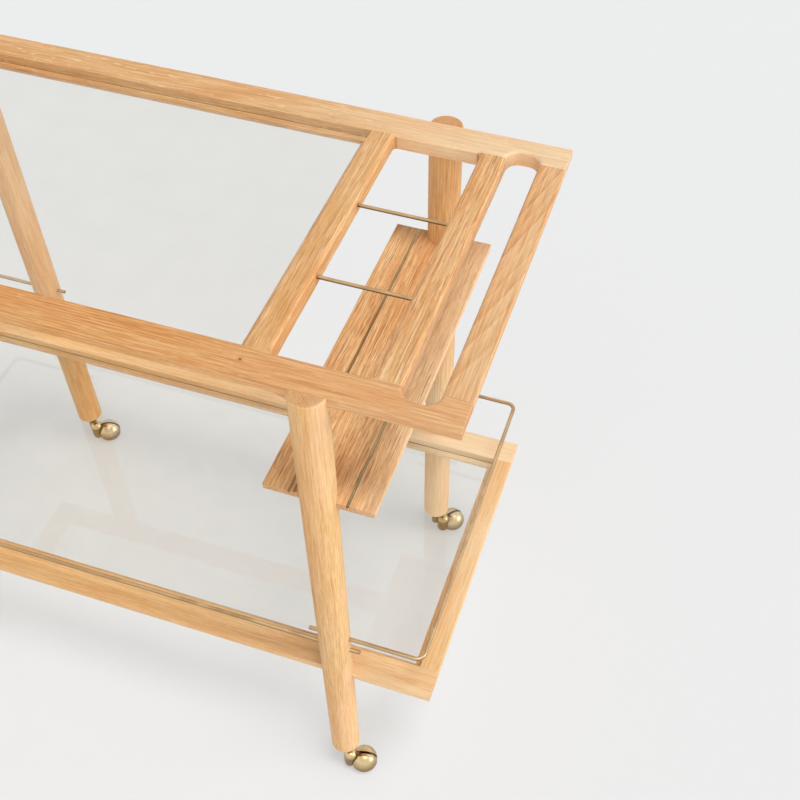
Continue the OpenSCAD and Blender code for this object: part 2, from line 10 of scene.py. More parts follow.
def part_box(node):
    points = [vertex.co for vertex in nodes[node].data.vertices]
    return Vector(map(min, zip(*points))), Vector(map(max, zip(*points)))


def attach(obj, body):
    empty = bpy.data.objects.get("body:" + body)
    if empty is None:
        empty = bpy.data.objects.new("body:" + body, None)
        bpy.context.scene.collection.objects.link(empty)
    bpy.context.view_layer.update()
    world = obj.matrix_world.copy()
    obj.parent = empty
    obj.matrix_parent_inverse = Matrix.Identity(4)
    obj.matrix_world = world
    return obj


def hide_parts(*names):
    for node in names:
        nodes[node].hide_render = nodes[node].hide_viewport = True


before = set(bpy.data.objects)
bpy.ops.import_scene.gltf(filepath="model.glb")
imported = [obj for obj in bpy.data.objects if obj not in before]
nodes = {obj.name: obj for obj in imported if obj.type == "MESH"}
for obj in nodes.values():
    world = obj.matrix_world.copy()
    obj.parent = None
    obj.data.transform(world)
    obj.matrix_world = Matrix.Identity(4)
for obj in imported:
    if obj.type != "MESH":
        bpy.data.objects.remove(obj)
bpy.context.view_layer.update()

# ---------------------------------------------------------------------------------------
# Top frame: two long rails with four cross rails dowelled between them, planed from oak
# boards. The upper edges of the grip slot and of the bottle rack are well rounded, and all
# other edges are only eased with fine paper. The wood has a clear matt oil finish.


def linear(code):
    """Linear colour of an sRGB hex code."""
    parts = [int(code[i:i + 2], 16) / 255 for i in (1, 3, 5)]
    return tuple(c / 12.92 if c <= 0.04045 else ((c + 0.055) / 1.055) ** 2.4 for c in parts) + (1,)


def add(tree, kind, inputs=None, **settings):
    """Adds one node with its own settings, and its inputs as values or as links."""
    made = tree.nodes.new(kind)
    for key, value in settings.items():
        setattr(made, key, value)
    for key, value in (inputs or {}).items():
        if isinstance(value, bpy.types.NodeSocket):
            tree.links.new(value, made.inputs[key])
        else:
            made.inputs[key].default_value = value
    return made


def blank(name):
    """A new material with nothing in it but its coordinates."""
    material = bpy.data.materials.new(name)
    material.use_nodes = True
    tree = material.node_tree
    tree.nodes.clear()
    return material, tree, add(tree, "ShaderNodeTexCoord")


def put_on(obj, material):
    """Gives a piece or a carried-over node one material."""
    obj.data.materials.clear()
    obj.data.materials.append(material)


def finished(bm, name):
    """The object made of a worked mesh, in the scene."""
    mesh = bpy.data.meshes.new(name)
    bm.to_mesh(mesh)
    bm.free()
    piece = bpy.data.objects.new(name, mesh)
    bpy.context.scene.collection.objects.link(piece)
    return piece


def oak(name, grain, heart, lean, ring, hues, pores=1.0, flecks=0.5, bands=1.0, seed=0.0,
        knot=None, painted_light=None):
    """Oak sawn from round a heart line, with the growth rings cut where the faces cut them.

    grain is the axis that the fibres follow, heart a point on the middle of the tree in
    metres, lean the angles in degrees by which that middle runs across the board, ring the
    width of a year in metres, and hues the pale, deep and pore colours. pores, flecks and
    bands say how much the pores, the rays and the rings show, and seed shifts the pattern.
    knot holds a place and a size in metres. Painted light: towards the side where more light falls
    on it, the board is painted paler;
    painted_light holds the axis, where along it that starts and ends, and how much.
    """
    material, tree, place = blank(name)
    turn = {"X": (0, 0, 0), "Y": (0, 0, -90), "Z": (0, 90, 0)}[grain]
    turn = Euler([math.radians(a) for a in turn])
    # Fibres along X from here on, with the middle of the tree at Y = Z = 0
    log = add(tree, "ShaderNodeMapping", {
        "Vector": place.outputs["Object"], "Rotation": turn,
        "Location": -(turn.to_matrix() @ Vector(heart))}).outputs[0]

    def vector_of(kind, *values):
        return add(tree, "ShaderNodeVectorMath", dict(enumerate(values)), operation=kind)

    def math_of(kind, *values):
        return add(tree, "ShaderNodeMath", dict(enumerate(values)), operation=kind).outputs[0]

    def noise(vector, detail=2.0, rough=0.5):
        return add(tree, "ShaderNodeTexNoise", {
            "Vector": vector, "Scale": 1.0, "Detail": detail, "Roughness": rough},
            noise_dimensions="3D")

    def streaks(along, across, detail=2.0, rough=0.5):
        """Noise that repeats along and across the fibres so many times a metre."""
        stretched = vector_of("MULTIPLY", log, (along, across, across)).outputs[0]
        return noise(stretched, detail, rough)

    def ranged(value, low, high, to_low=0.0, to_high=1.0):
        return add(tree, "ShaderNodeMapRange", {
            "Value": value, "From Min": low, "From Max": high,
            "To Min": to_low, "To Max": to_high}, interpolation_type="SMOOTHSTEP").outputs[0]

    def mixed(factor, a, b, blend="MIX"):
        made = add(tree, "ShaderNodeMix", {"Factor": factor, 6: a, 7: b},
                   data_type="RGBA", blend_type=blend)
        return made.outputs[2]

    # Slow wander of the rings: about 5 mm over 300 mm of length and 60 mm of width
    drift = 0.010
    wander = streaks(3.1, 16.0, 3.0).outputs["Color"]
    wander = vector_of("SUBTRACT", wander, (0.5 + seed, 0.5, 0.5)).outputs[0]
    wander = vector_of("MULTIPLY", wander, (0.0, drift, drift)).outputs[0]
    bent = vector_of("ADD", log, wander).outputs[0]
    run = add(tree, "ShaderNodeSeparateXYZ", {0: bent}).outputs["X"]
    run = add(tree, "ShaderNodeCombineXYZ", {"Y": run, "Z": run}).outputs[0]
    slope = [0.0] + [math.tan(math.radians(a)) for a in lean]
    slant = vector_of("MULTIPLY", run, slope).outputs[0]
    flat = vector_of("MULTIPLY_ADD", bent, (0.0, 1.0, 1.0), slant).outputs[0]
    radius = vector_of("LENGTH", flat).outputs["Value"]
    years = math_of("ADD", math_of("DIVIDE", radius, ring), seed)
    in_year = math_of("FRACT", years)
    year = add(tree, "ShaderNodeTexWhiteNoise", {"W": math_of("FLOOR", years)},
               noise_dimensions="1D").outputs["Value"]
    # Each year starts with a porous, deeper band and fades to dense pale wood
    early = add(tree, "ShaderNodeValToRGB", {"Fac": in_year})
    ramp = early.color_ramp
    ramp.interpolation = "EASE"
    ramp.elements[0].position, ramp.elements[0].color = 0.0, (0.5, 0.5, 0.5, 1)
    ramp.elements[1].position, ramp.elements[1].color = 1.0, (0.5, 0.5, 0.5, 1)
    for spot, level in ((0.1, 0.95), (0.3, 0.6), (0.7, 0.34), (0.84, 0.22), (0.93, 0.0)):
        ramp.elements.new(spot).color = (level, level, level, 1)
    early = math_of("MULTIPLY", early.outputs["Color"], ranged(year, 0.0, 1.0, 0.45, 1.0))

    # Fibres: streaks some 2 mm wide and 80 mm long, as wide as they must be to show
    fibre = streaks(11.0 + 0.5 * seed, 520.0, 2.0, 0.6).outputs["Fac"]
    # Open pores: fine dark dashes, real ones under 0.4 mm wide, drawn up to 1.3 mm
    long_pore = streaks(34.0, 620.0 + 9 * seed, 1.0).outputs["Fac"]
    fine_pore = streaks(90.0, 1900.0, 1.0).outputs["Fac"]
    # Dense fibres between the pores: fine light lines, drawn some 3 mm apart
    light = streaks(23.0, 690.0 + 7 * seed, 1.0).outputs["Fac"]
    # Slow drift of tone along a board
    tone = streaks(4.0, 22.0).outputs["Fac"]

    pale, deep, pore = (linear(h) for h in hues)
    colour = mixed(math_of("MULTIPLY", early, 0.78 * bands), pale, deep)
    # Where the board is painted paler for the light, its fibres and pores show less too
    grain_through_painted_light = 1.0
    # Painted light: along one axis the board is mixed towards a pale colour where more light falls
    # on it
    if painted_light:
        axis, start, end, amount = painted_light
        along = add(tree, "ShaderNodeSeparateXYZ", {0: place.outputs["Object"]}).outputs[axis]
        edge = math_of("MULTIPLY_ADD", tone, 0.12, math_of("ADD", along, -0.06))
        edge = ranged(edge, start, end, 0.0, amount)
        colour = mixed(edge, colour, linear("#FCE5C2"))
        grain_through_painted_light = math_of("MULTIPLY_ADD", edge, -0.6, 1.0)
    strength = math_of("MULTIPLY", ranged(fibre, 0.36, 0.66, 0.0, 0.5), grain_through_painted_light)
    colour = mixed(strength, colour, deep)
    colour = mixed(ranged(light, 0.5, 0.62, 0.0, 0.45 * pores), colour, linear("#FADDAE"))
    colour = mixed(ranged(tone, 0.3, 0.75, 0.0, 0.5), colour, linear("#F2C690"), "MULTIPLY")
    dashes = math_of("MULTIPLY", ranged(long_pore, 0.54, 0.66),
                     math_of("MULTIPLY_ADD", early, 0.8, 0.22))
    specks = math_of("MULTIPLY", ranged(fine_pore, 0.56, 0.68), 0.5)
    holes = math_of("MAXIMUM", dashes, specks)
    shown = math_of("MULTIPLY", holes, 0.62 * pores)
    colour = mixed(math_of("MULTIPLY", shown, grain_through_painted_light), colour, pore)

    # Rays: pale ribbons, broad where a face is cut along the radius and thin elsewhere
    split = add(tree, "ShaderNodeSeparateXYZ", {0: bent})
    around = math_of("ARCTAN2", split.outputs["Y"], split.outputs["Z"])
    ray_at = add(tree, "ShaderNodeCombineXYZ", {
        "X": math_of("MULTIPLY", split.outputs["X"], 75.0),
        "Y": math_of("MULTIPLY", around, 90.0), "Z": math_of("MULTIPLY", radius, 130.0)})
    rays = ranged(noise(ray_at.outputs[0], 1.0).outputs["Fac"], 0.62, 0.72, 0.0, flecks)
    colour = mixed(rays, colour, linear("#F8DCAE"))

    # Cut ends drink more oil, so they are a little greyer and deeper than the faces
    side = add(tree, "ShaderNodeSeparateXYZ", {0: place.outputs["Normal"]}).outputs[grain]
    ends = ranged(math_of("ABSOLUTE", side), 0.6, 0.95)
    colour = mixed(math_of("MULTIPLY", ends, 0.75), colour, linear("#EADFE2"), "MULTIPLY")

    if knot:
        # A small sound knot, with the fibres a little darker round it
        spot, size = knot
        away = vector_of("DISTANCE", place.outputs["Object"], spot).outputs["Value"]
        colour = mixed(ranged(away, size * 2.6, size * 0.6, 0.0, 0.35), colour, deep)
        colour = mixed(ranged(away, size, size * 0.3, 0.0, 0.8), colour, linear("#7A4B2B"))

    coarse = math_of("ADD", ranged(holes, 0.0, 1.0, 0.0, 0.14),
                     ranged(fibre, 0.3, 0.7, 0.46, 0.56))
    height = math_of("SUBTRACT", math_of("MULTIPLY", fibre, 0.35),
                     math_of("MULTIPLY", holes, 0.65))
    relief = add(tree, "ShaderNodeBump", {"Strength": 0.35, "Distance": 0.0002, "Height": height})
    wood = add(tree, "ShaderNodeBsdfPrincipled", {
        "Base Color": colour, "Roughness": coarse, "Normal": relief.outputs[0],
        "IOR": 1.45, "Specular IOR Level": 0.42})
    add(tree, "ShaderNodeOutputMaterial", {"Surface": wood.outputs[0]})
    return material


# How far edges are eased, and the shortest edge on which it is done: the short facets of
# the rounded corners are too small to ease cleanly, and stay as they are
ease = 0.0003
shortest = 0.02


def eased(node):
    """A rail or board from its node, its long sharp edges eased."""
    bm = bmesh.new()
    bm.from_mesh(nodes[node].data)
    bmesh.ops.remove_doubles(bm, verts=bm.verts, dist=1e-6)
    bmesh.ops.dissolve_limit(bm, angle_limit=math.radians(0.5), verts=bm.verts, edges=bm.edges)
    sharp = [e for e in bm.edges if e.is_manifold and e.calc_length() > shortest
             and e.calc_face_angle(0) > math.radians(50)]
    bmesh.ops.bevel(bm, geom=sharp, offset=ease, offset_type="OFFSET", segments=2, profile=0.5,
                    affect="EDGES", material=-1, clamp_overlap=False)
    bmesh.ops.connect_verts_concave(bm, faces=bm.faces[:])
    for face in bm.faces:
        face.smooth = True
    piece = finished(bm, node + "_eased")
    # The node's own normals don't fit the new faces, so they are worked out afresh
    piece.data.attributes.remove(piece.data.attributes["custom_normal"])
    piece.data.set_sharp_from_angle(angle=math.radians(40))
    even = piece.modifiers.new("even_faces", "WEIGHTED_NORMAL")
    even.keep_sharp = True
    return piece


top_hues = ("#EEC18A", "#D09656", "#9A653A")
top_rails = {
    # Long rails: rift sawn, fine straight lines; the heart is far off to one side
    "top_front_rail": oak(
        "oiled_oak_top_front", "X", heart=(0.0, -0.33, 0.68), lean=(0.25, 0.3), ring=0.0026,
        hues=("#E5A966", "#C38043", "#8E5A2F"), pores=0.7, flecks=0.15, bands=0.7, seed=0.3,
        knot=((0.2372, -0.1865, 0.780), 0.0023), painted_light=("X", 0.08, 0.42, 0.35)),
    "top_back_rail": oak(
        "oiled_oak_top_back", "X", heart=(0.0, 0.05, 0.735), lean=(0.2, 0.15), ring=0.0028,
        hues=("#E9BC88", "#CD9457", "#986638"), pores=0.8, flecks=0.4, bands=0.7, seed=1.7,
        painted_light=("X", 0.05, 0.40, 0.85)),
    # End rails: flat sawn, so that the rings run out in long flames
    "top_right_end_rail": oak(
        "oiled_oak_right_end", "Y", heart=(0.48, 0.0, 0.735), lean=(13.0, 3.0), ring=0.0070,
        hues=("#F4CDA0", "#D2975A", "#A06C40"), pores=0.7, flecks=0.2, bands=1.0, seed=2.1),
    "top_left_end_rail": oak(
        "oiled_oak_left_end", "Y", heart=(-0.47, 0.0, 0.735), lean=(-10.0, 3.0), ring=0.0060,
        hues=top_hues, pores=0.6, flecks=0.3, bands=0.8, seed=3.4),
    "grip_bar": oak(
        "oiled_oak_grip_bar", "Y", heart=(0.46, 0.0, 0.70), lean=(0.5, 0.6), ring=0.0027,
        hues=("#EFC18C", "#CD9256", "#935D36"), pores=1.3, flecks=0.25, bands=0.9, seed=4.2),
    "divider_rail": oak(
        "oiled_oak_divider", "Y", heart=(0.30, 0.0, 0.66), lean=(0.4, 0.5), ring=0.0027,
        hues=("#E8B880", "#CC9052", "#985F36"), pores=0.9, flecks=0.25, bands=0.7, seed=5.9),
}
for node, material in top_rails.items():
    piece = eased(node)
    put_on(piece, material)
    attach(piece, "cart")
    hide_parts(node)

# ---------------------------------------------------------------------------------------
# Glass panels: 4 mm clear float glass, cut to size, laid loose on the ledges of the two
# frames. The edges are ground matt, with a narrow arris all round that shows as a thin line.


def clear_glass():
    """Float glass: all but colourless on the face, so that only its reflections show."""
    material, tree, place = blank("clear_float_glass")
    # Wiping marks some 40 mm across, hardly greyer than the glass between them
    smear = add(tree, "ShaderNodeTexNoise", {
        "Vector": place.outputs["Object"], "Scale": 25.0, "Detail": 2.0}).outputs["Fac"]
    haze = add(tree, "ShaderNodeMix", {
        "Factor": smear, 6: linear("#F7F6F2"), 7: linear("#F1F0EC")}, data_type="RGBA")
    glass = add(tree, "ShaderNodeBsdfPrincipled", {
        "Base Color": haze.outputs[2], "Roughness": 0.0, "IOR": 1.5,
        "Transmission Weight": 1.0})
    # Lamps reach what lies under the panel, a little dimmed, as they do in a room
    through = add(tree, "ShaderNodeBsdfTransparent", {"Color": linear("#CECECD")})
    path = add(tree, "ShaderNodeLightPath")
    both = add(tree, "ShaderNodeMixShader", {
        0: path.outputs["Is Shadow Ray"], 1: glass.outputs[0], 2: through.outputs[0]})
    add(tree, "ShaderNodeOutputMaterial", {"Surface": both.outputs[0]})
    return material


def ground_glass():
    """Ground edge: the iron in the depth of the panel shows as a frosted grey-green."""
    material, tree, place = blank("ground_glass_edge")
    # Grinding marks along the edge, a millimetre or two long
    marks = add(tree, "ShaderNodeTexNoise", {
        "Vector": place.outputs["Object"], "Scale": 700.0, "Detail": 2.0}).outputs["Fac"]
    shade = add(tree, "ShaderNodeMix", {
        "Factor": marks, 6: linear("#CBD8CF"), 7: linear("#AFC2B6")}, data_type="RGBA")
    dull = add(tree, "ShaderNodeMapRange", {"Value": marks, "To Min": 0.3, "To Max": 0.5})
    edge = add(tree, "ShaderNodeBsdfPrincipled", {
        "Base Color": shade.outputs[2], "Roughness": dull.outputs[0], "IOR": 1.5,
        "Transmission Weight": 0.55})
    add(tree, "ShaderNodeOutputMaterial", {"Surface": edge.outputs[0]})
    return material


def slab(low, high, edge, segments):
    """A panel or strip between two corners, its edges taken off by so many metres."""
    bm = bmesh.new()
    bmesh.ops.create_cube(bm, size=1.0)
    bmesh.ops.scale(bm, verts=bm.verts, vec=high - low)
    bmesh.ops.translate(bm, verts=bm.verts, vec=(high + low) / 2)
    bmesh.ops.bevel(bm, geom=bm.edges[:], offset=edge, offset_type="OFFSET", segments=segments,
                    profile=0.5, affect="EDGES", material=-1)
    return bm


arris = 0.0006
# The panel's underside is drawn this far clear of the ledge under it
ledge_gap = 0.00025
float_glass = clear_glass()
glass_edge = ground_glass()
for node in ("top_glass", "lower_glass"):
    low, high = (Vector(p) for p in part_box(node))
    low.z += ledge_gap
    bm = slab(low, high, arris, 1)
    for face in bm.faces:
        face.material_index = 0 if abs(face.normal.z) > 0.9 else 1
    piece = finished(bm, node + "_panel")
    put_on(piece, float_glass)
    piece.data.materials.append(glass_edge)
    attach(piece, "cart")
    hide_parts(node)

# ---------------------------------------------------------------------------------------
# Bottle rack rods: two thin rods of drawn brass, let into the rails on either side of the
# rack. They are finely brushed along their length and lacquered, so that they mirror softly
# and keep a pale gold colour.


def drawn_brass(name, along, base="#DCB888", deep="#7E5C38", dullness=(0.2, 0.32)):
    """Lacquered brass: pale gold with fine drawing lines along one axis of the piece."""
    material, tree, place = blank(name)
    # Drawing lines 0.25 mm apart, tens of millimetres long
    scale = [4000.0 if axis != along else 30.0 for axis in "XYZ"]
    fine = add(tree, "ShaderNodeVectorMath", {0: place.outputs["Object"], 1: scale},
               operation="MULTIPLY").outputs[0]
    lines = add(tree, "ShaderNodeTexNoise", {
        "Vector": fine, "Scale": 1.0, "Detail": 1.0}).outputs["Fac"]
    # Handling: patches some 20 mm long where the lacquer is a little duller and browner
    patches = add(tree, "ShaderNodeTexNoise", {
        "Vector": place.outputs["Object"], "Scale": 45.0, "Detail": 3.0}).outputs["Fac"]
    handling_and_painted_shade = add(tree, "ShaderNodeMapRange", {
        "Value": patches, "From Min": 0.4, "From Max": 0.72, "To Min": 0.0, "To Max": 0.5})
    # Painted shade: the undersides are drawn darker and browner, as they lie in shade
    up = add(tree, "ShaderNodeSeparateXYZ", {0: place.outputs["Normal"]}).outputs["Z"]
    painted_underside_shade = add(tree, "ShaderNodeMapRange", {
        "Value": up, "From Min": 0.55, "From Max": -0.05, "To Min": 0.0, "To Max": 0.95})
    handling_and_painted_shade = add(tree, "ShaderNodeMath", {0: handling_and_painted_shade.outputs[0], 1: painted_underside_shade.outputs[0]},
               operation="MAXIMUM")
    colour = add(tree, "ShaderNodeMix", {
        "Factor": handling_and_painted_shade.outputs[0], 6: linear(base), 7: linear(deep)}, data_type="RGBA")
    both = add(tree, "ShaderNodeMath", {0: lines, 1: patches}, operation="ADD").outputs[0]
    dull = add(tree, "ShaderNodeMapRange", {
        "Value": both, "From Min": 0.7, "From Max": 1.3,
        "To Min": dullness[0], "To Max": dullness[1]})
    relief = add(tree, "ShaderNodeBump", {
        "Strength": 0.08, "Distance": 0.00005, "Height": lines})
    metal = add(tree, "ShaderNodeBsdfPrincipled", {
        "Base Color": colour.outputs[2], "Metallic": 1.0, "Roughness": dull.outputs[0],
        "Normal": relief.outputs[0]})
    add(tree, "ShaderNodeOutputMaterial", {"Surface": metal.outputs[0]})
    return material


rod_brass = drawn_brass("drawn_brass_rods", "X")
put_on(nodes["rack_rods"], rod_brass)

# ---------------------------------------------------------------------------------------
# Lower frame: the same joinery as the top frame in paler oak, with the glass lying on a
# ledge all round. The legs are notched round its long rails.

lower_hues = ("#F4D3A2", "#DDAA6C", "#B27F49")
lower_rails = {
    "lower_front_rail": oak(
        "oiled_oak_lower_front", "X", heart=(0.0, -0.30, 0.16), lean=(0.2, 0.3), ring=0.0027,
        hues=("#ECC58E", "#D49D5E", "#A87442"), pores=0.6, flecks=0.2, bands=0.7, seed=6.3,
        painted_light=("X", 0.02, 0.38, 0.45)),
    "lower_back_rail": oak(
        "oiled_oak_lower_back", "X", heart=(0.0, 0.07, 0.20), lean=(0.15, 0.2), ring=0.0028,
        hues=lower_hues, pores=0.5, flecks=0.3, bands=0.6, seed=7.7,
        painted_light=("X", -0.2, 0.35, 0.95)),
    "lower_right_end_rail": oak(
        "oiled_oak_lower_right", "Y", heart=(0.47, 0.0, 0.20), lean=(0.9, 0.7), ring=0.0031,
        hues=lower_hues, pores=0.6, flecks=0.4, bands=0.8, seed=8.4,
        painted_light=("Y", -0.25, 0.12, 0.5)),
    "lower_left_end_rail": oak(
        "oiled_oak_lower_left", "Y", heart=(-0.45, 0.0, 0.19), lean=(0.8, 0.9), ring=0.0031,
        hues=lower_hues, pores=0.6, flecks=0.4, bands=0.8, seed=9.2),
}
for node, material in lower_rails.items():
    piece = eased(node)
    put_on(piece, material)
    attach(piece, "cart")
    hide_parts(node)

# ---------------------------------------------------------------------------------------
# Narrow bottle shelf: one flat-sawn oak board with open, reddish grain, notched round the
# two right-hand legs and carried on steel pins, with two brushed brass strips let in flush.

shelf_oak = oak(
    "oiled_oak_bottle_shelf", "Y", heart=(0.27, 0.0, 0.60), lean=(0.5, 0.9), ring=0.0036,
    hues=("#EDBF88", "#CC8F54", "#8A522D"), pores=1.5, flecks=0.3, bands=0.8, seed=10.6,
    painted_light=("X", 0.31, 0.40, 1.0))
piece = eased("bottle_shelf")
put_on(piece, shelf_oak)
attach(piece, "cart")
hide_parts("bottle_shelf")

strip_brass = drawn_brass("brushed_brass_strips", "Y", "#B39970", "#776443", (0.2, 0.3))
strip_edge = 0.0003
for node in ("shelf_inlay_left", "shelf_inlay_right"):
    low, high = (Vector(p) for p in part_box(node))
    piece = finished(slab(low, high, strip_edge, 2), node + "_strip")
    put_on(piece, strip_brass)
    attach(piece, "cart")
    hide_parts(node)

# ---------------------------------------------------------------------------------------
# Legs: four turned oak rods, rounded at the top and foot, notched where they pass the long
# rails and bored for the gallery rods. The end grain shows at the top of each.

leg_hues = ("#EEC68C", "#D69F60", "#A4703C")
legs = {
    "leg_fr": oak(
        "oiled_oak_leg_front_right", "Z", heart=(0.262, -0.262, 0.0), lean=(0.35, -0.3),
        ring=0.0029, hues=leg_hues, pores=0.7, flecks=0.12, bands=0.8, seed=11.1,
        painted_light=("X", 0.312, 0.336, 0.6)),
    "leg_br": oak(
        "oiled_oak_leg_back_right", "Z", heart=(0.37, 0.15, 0.0), lean=(-0.3, 0.4),
        ring=0.0031, hues=("#EBBE82", "#D09558", "#9C6836"), pores=0.7, flecks=0.12,
        bands=0.8, seed=12.5, painted_light=("Z", 0.6, 0.15, 0.8)),
    "leg_fl": oak(
        "oiled_oak_leg_front_left", "Z", heart=(-0.36, -0.15, 0.0), lean=(0.3, 0.35),
        ring=0.0030, hues=leg_hues, pores=0.7, flecks=0.12, bands=0.8, seed=13.9),
    "leg_bl": oak(
        "oiled_oak_leg_back_left", "Z", heart=(-0.25, 0.25, 0.0), lean=(0.4, -0.3),
        ring=0.0028, hues=leg_hues, pores=0.7, flecks=0.12, bands=0.8, seed=14.2),
}
for node, material in legs.items():
    put_on(nodes[node], material)

# ---------------------------------------------------------------------------------------
# Hidden fixings: beech dowels glued into the frames and legs, and turned steel pins under
# the bottle shelf. None of them shows once the cart is together.


def turned_steel(name):
    """Bright mild steel, turned: pale grey with fine rings and a slight darkening."""
    material, tree, place = blank(name)
    marks = add(tree, "ShaderNodeTexNoise", {
        "Vector": place.outputs["Object"], "Scale": 900.0, "Detail": 2.0}).outputs["Fac"]
    shade = add(tree, "ShaderNodeMix", {
        "Factor": marks, 6: linear("#C9C8C4"), 7: linear("#9C9A95")}, data_type="RGBA")
    dull = add(tree, "ShaderNodeMapRange", {"Value": marks, "To Min": 0.2, "To Max": 0.38})
    metal = add(tree, "ShaderNodeBsdfPrincipled", {
        "Base Color": shade.outputs[2], "Metallic": 1.0, "Roughness": dull.outputs[0]})
    add(tree, "ShaderNodeOutputMaterial", {"Surface": metal.outputs[0]})
    return material


beech = oak(
    "beech_dowels", "Y", heart=(0.1, 0.0, 0.3), lean=(0.2, 0.2), ring=0.0022,
    hues=("#E8C9A0", "#D8B084", "#B98E63"), pores=0.3, flecks=0.6, bands=0.4, seed=15.3)
for node in ("top_dowels", "lower_dowels", "leg_dowels"):
    put_on(nodes[node], beech)
steel = turned_steel("turned_mild_steel")
put_on(nodes["shelf_pins"], steel)

# ---------------------------------------------------------------------------------------
# Gallery: 5 mm brass rods run through the legs. One is bent round each end of the lower
# tray, and a straight one runs a little lower along each side. Their ends are rounded off.

rod_r = 0.0025
rod_sides = 32
tip_round = 0.0009
bend = 0.010
bend_steps = 14


def open_ring(geometry):
    """The edges among new geometry that still end in the open."""
    return [g for g in geometry if isinstance(g, bmesh.types.BMEdge) and len(g.link_faces) < 2]


def grow(bm, ring, move):
    """Extrudes a ring of edges by a move and returns the new ring."""
    made = bmesh.ops.extrude_edge_only(bm, edges=ring)["geom"]
    bmesh.ops.translate(bm, verts=[g for g in made if isinstance(g, bmesh.types.BMVert)], vec=move)
    return open_ring(made)


def turn_corner(bm, ring, centre, way):
    """Carries a ring of edges round a quarter bend and returns the last ring."""
    turned = bmesh.ops.spin(bm, geom=ring, cent=centre, axis=(0, 0, way), angle=math.pi / 2,
                            steps=bend_steps)["geom_last"]
    return [g for g in turned if isinstance(g, bmesh.types.BMEdge)]


def rod_start(bm, at):
    """A capped ring of edges across X, where a rod begins."""
    bmesh.ops.create_circle(bm, cap_ends=True, radius=rod_r, segments=rod_sides,
                            matrix=Matrix.Translation(at) @ Matrix.Rotation(math.pi / 2, 4, "Y"))
    return bm.edges[:]


def finish_rod(bm, name, ring, material):
    """Closes a rod, rounds both of its ends and makes it a piece on the cart."""
    bmesh.ops.contextual_create(bm, geom=ring)
    caps = [f for f in bm.faces if len(f.verts) > 4]
    rims = list({e for f in caps for e in f.edges})
    bmesh.ops.bevel(bm, geom=rims, offset=tip_round, offset_type="OFFSET", segments=3,
                    profile=0.5, affect="EDGES", material=-1)
    bmesh.ops.recalc_face_normals(bm, faces=bm.faces)
    for face in bm.faces:
        face.smooth = True
    piece = finished(bm, name + "_rod")
    piece.data.set_sharp_from_angle(angle=math.radians(40))
    put_on(piece, material)
    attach(piece, "cart")
    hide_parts(name)


end_rod_brass = drawn_brass("drawn_brass_end_rods", "Y", "#E4C498", "#957048")
for node, s in (("gallery_right", 1), ("gallery_left", -1)):
    low, high = (Vector(p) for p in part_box(node))
    tip = low.x if s > 0 else high.x
    far = (high.x if s > 0 else low.x) - s * rod_r
    side = high.y - rod_r
    mid_z = (low.z + high.z) / 2
    bm = bmesh.new()
    ring = rod_start(bm, (tip, -side, mid_z))
    ring = grow(bm, ring, (far - s * bend - tip, 0, 0))
    ring = turn_corner(bm, ring, (far - s * bend, bend - side, mid_z), s)
    ring = grow(bm, ring, (0, 2 * (side - bend), 0))
    ring = turn_corner(bm, ring, (far - s * bend, side - bend, mid_z), s)
    ring = grow(bm, ring, (tip - far + s * bend, 0, 0))
    finish_rod(bm, node, ring, end_rod_brass)

for node in ("gallery_front", "gallery_back"):
    low, high = (Vector(p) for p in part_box(node))
    bm = bmesh.new()
    ring = rod_start(bm, (low.x, (low.y + high.y) / 2, (low.z + high.z) / 2))
    ring = grow(bm, ring, (high.x - low.x, 0, 0))
    finish_rod(bm, node, ring, rod_brass)

# ---------------------------------------------------------------------------------------
# Ball castors: each has a half-ball hood in polished brass that swivels on a steel pintle,
# and a domed brass wheel beside it on a steel axle. The socket in the leg has a thin flange.

castor_brass = drawn_brass("polished_brass_castors", "Z", "#F2D9A8", "#9A7441", (0.18, 0.32))
for corner in ("fr", "br", "fl", "bl"):
    for part in ("socket", "hood", "wheel"):
        put_on(nodes[f"castor_{corner}_{part}"], castor_brass)
    for part in ("stem", "axle"):
        put_on(nodes[f"castor_{corner}_{part}"], steel)

# ---------------------------------------------------------------------------------------
# Studio: a pale floor that runs out of sight and keeps the cart's soft shadow, an even
# pale surround, one broad lamp almost overhead and one at the right.

floor_half = 12.0
bm = bmesh.new()
bmesh.ops.create_grid(bm, x_segments=1, y_segments=1, size=floor_half)
floor = finished(bm, "studio_floor")


def looked_at(tree):
    """1 where something is seen, straight or by way of metal or glass, and 0 for light.

    Light that reaches a matt surface through the glass is still the studio's own light.
    """
    path = add(tree, "ShaderNodeLightPath")
    seen = path.outputs["Is Camera Ray"]
    for ray in ("Is Glossy Ray", "Is Transmission Ray"):
        seen = add(tree, "ShaderNodeMath", {0: seen, 1: path.outputs[ray]},
                   operation="MAXIMUM").outputs[0]
    return add(tree, "ShaderNodeMath", {0: seen, 1: path.outputs["Diffuse Depth"]},
               operation="SUBTRACT", use_clamp=True).outputs[0]


paper = bpy.data.materials.new("pale_paper_floor")
paper.use_nodes = True
tree = paper.node_tree
tree.nodes.clear()
# Seen, the floor is part shaded paper and part even white, so that its shadow stays soft
matt = add(tree, "ShaderNodeBsdfDiffuse", {"Color": linear("#EEEEEE")})
seen_matt = add(tree, "ShaderNodeBsdfDiffuse", {"Color": (0.470, 0.478, 0.484, 1)})
lift = add(tree, "ShaderNodeEmission", {"Color": (1, 1, 1, 1), "Strength": 0.364})
seen = add(tree, "ShaderNodeAddShader", {0: seen_matt.outputs[0], 1: lift.outputs[0]})
both = add(tree, "ShaderNodeMixShader", {
    0: looked_at(tree), 1: matt.outputs[0], 2: seen.outputs[0]})
add(tree, "ShaderNodeOutputMaterial", {"Surface": both.outputs[0]})
put_on(floor, paper)

# Where the overhead lamp and the lamp at the right stand, as directions from the cart
lamp_aims = ((0.24, -0.12, 1.0), (1.0, 0.12, 0.4))

